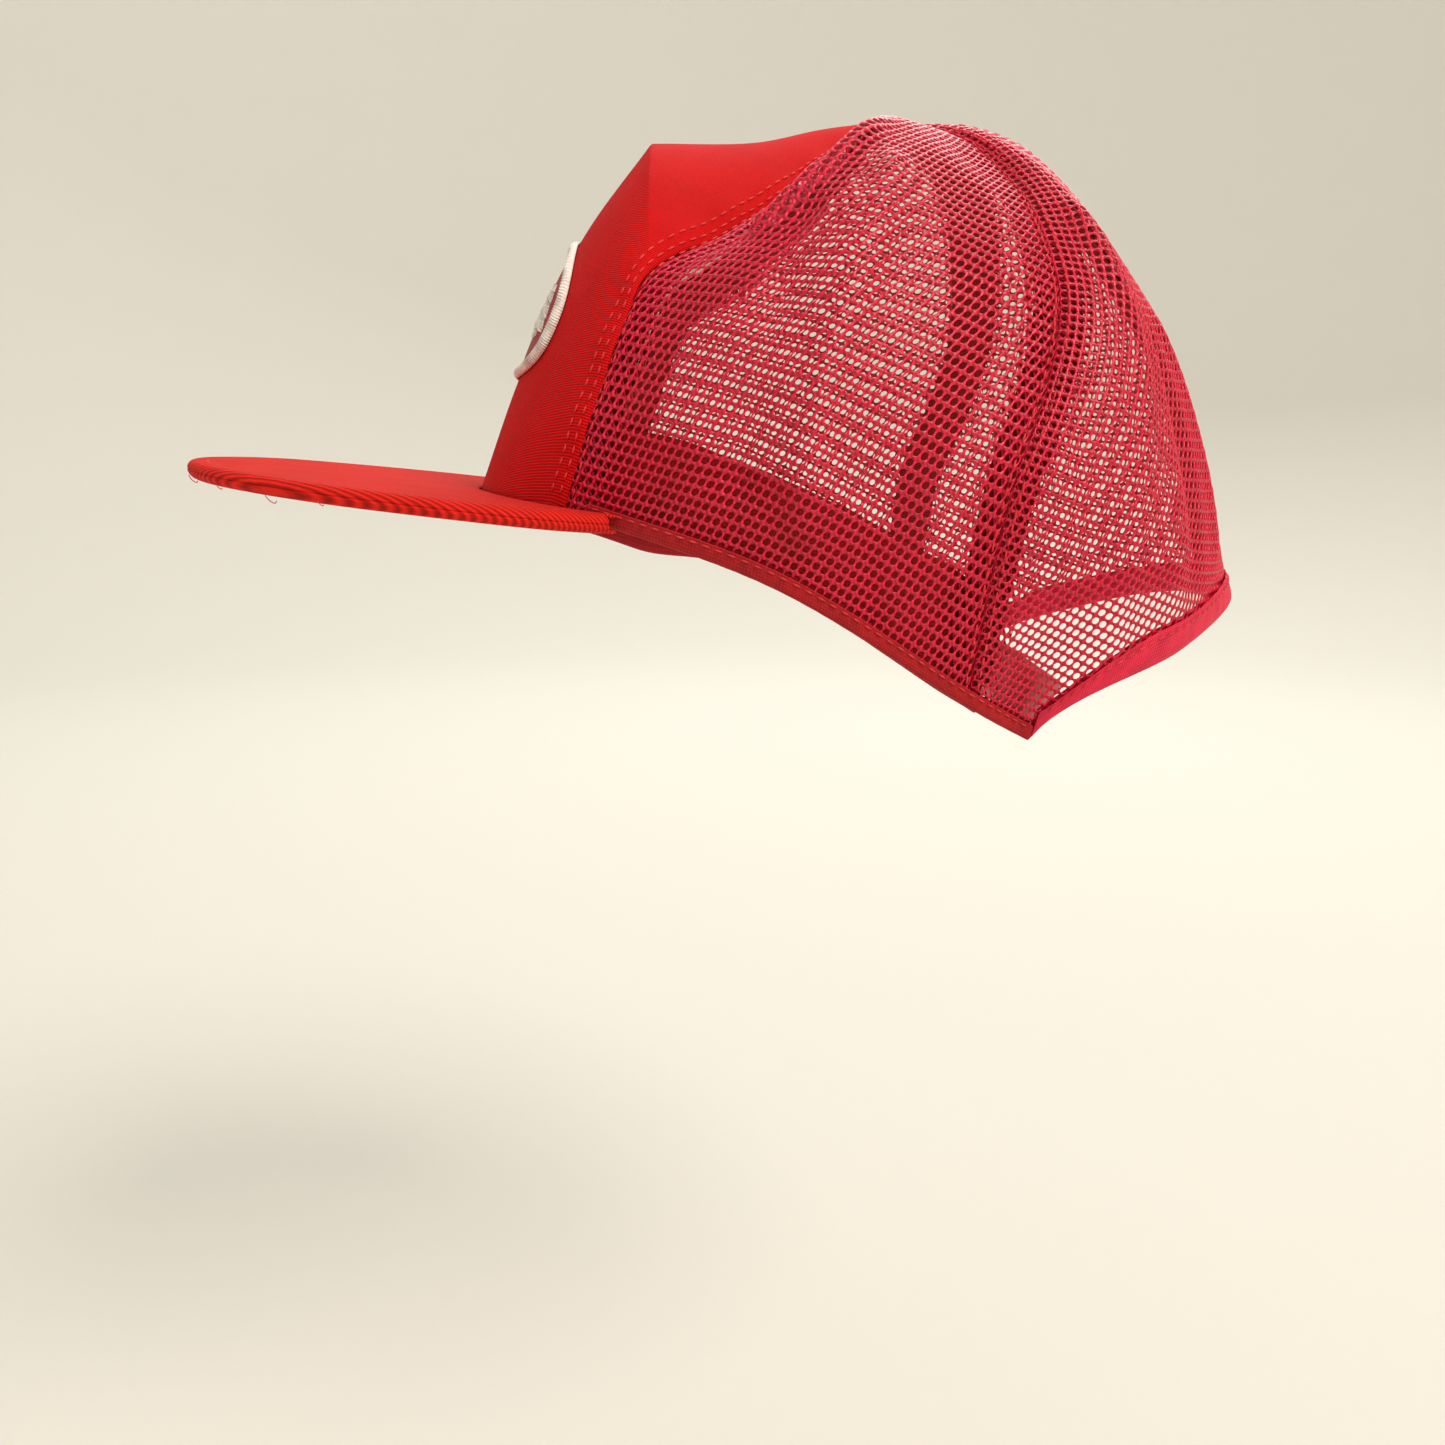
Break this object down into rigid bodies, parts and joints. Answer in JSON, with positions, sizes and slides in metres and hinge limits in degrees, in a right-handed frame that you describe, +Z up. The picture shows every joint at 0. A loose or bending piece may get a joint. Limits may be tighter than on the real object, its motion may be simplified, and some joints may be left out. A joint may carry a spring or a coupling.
{
  "type": "trucker mesh cap",
  "caption": "Trucker cap with a stiff twill front, flat fabric-covered bill, mesh side and back panels, sweatband, bound rear opening and plastic snap strap.",
  "frame": {"origin": "centre of the head opening, halfway between the bill joint and the snap strap and midway across", "axes": "+Z up as worn with the bill about level, +Y towards the back of the head so the bill points along -Y, +X to the wearer's left"},
  "size_m": [0.176, 0.2804, 0.1595],
  "materials": {
    "front_twill": "cotton twill, matt",
    "bill_twill": "cotton twill with a ropey rib, matt",
    "polyester_mesh": "warp-knitted polyester mesh, slight sheen",
    "bias_binding": "folded polyester bias tape, soft sheen",
    "seam_tape": "twill tape, matt",
    "sweatband_cotton": "brushed cotton twill, matt",
    "buckram": "stiffened open cotton, matt",
    "bill_board": "pressed board, matt",
    "strap_plastic": "moulded polyethylene, soft gloss",
    "embroidery_thread": "rayon thread, satin",
    "embroidery_fill": "rayon thread, satin"
  },
  "bodies": {
    "cap_body": {"front_panel": "front_twill", "front_backing": "buckram", "side_mesh_left": "polyester_mesh", "side_mesh_right": "polyester_mesh", "back_mesh_left": "polyester_mesh", "back_mesh_right": "polyester_mesh", "front_seam_tape_left": "seam_tape", "front_seam_tape_right": "seam_tape", "side_seam_tape_left": "seam_tape", "side_seam_tape_right": "seam_tape", "back_seam_tape": "seam_tape", "opening_binding": "bias_binding", "sweatband": "sweatband_cotton", "bill_board": "bill_board", "bill_top_cover": "bill_twill", "bill_under_cover": "bill_twill", "emblem_ground": "embroidery_fill", "emblem_border": "embroidery_thread", "emblem_tree": "embroidery_thread", "emblem_small_tree_left": "embroidery_thread", "emblem_small_tree_right": "embroidery_thread", "strap_tab_left": "strap_plastic", "strap_tab_right": "strap_plastic"},
    "hole_strap_half": {"hole_strap": "strap_plastic"},
    "peg_strap_half": {"peg_strap": "strap_plastic"}
  },
  "joints": [
    {"name": "hole_strap_bend", "type": "hinge", "parent": "cap_body", "child": "hole_strap_half", "pos_m": [0.053, 0.06431, -0.02318], "axis": [0, -0.515, -0.8572], "range_deg": [0, 65]},
    {"name": "peg_strap_bend", "type": "hinge", "parent": "cap_body", "child": "peg_strap_half", "pos_m": [-0.053, 0.06298, -0.02238], "axis": [0, -0.515, -0.8572], "range_deg": [0, 40]}
  ]
}
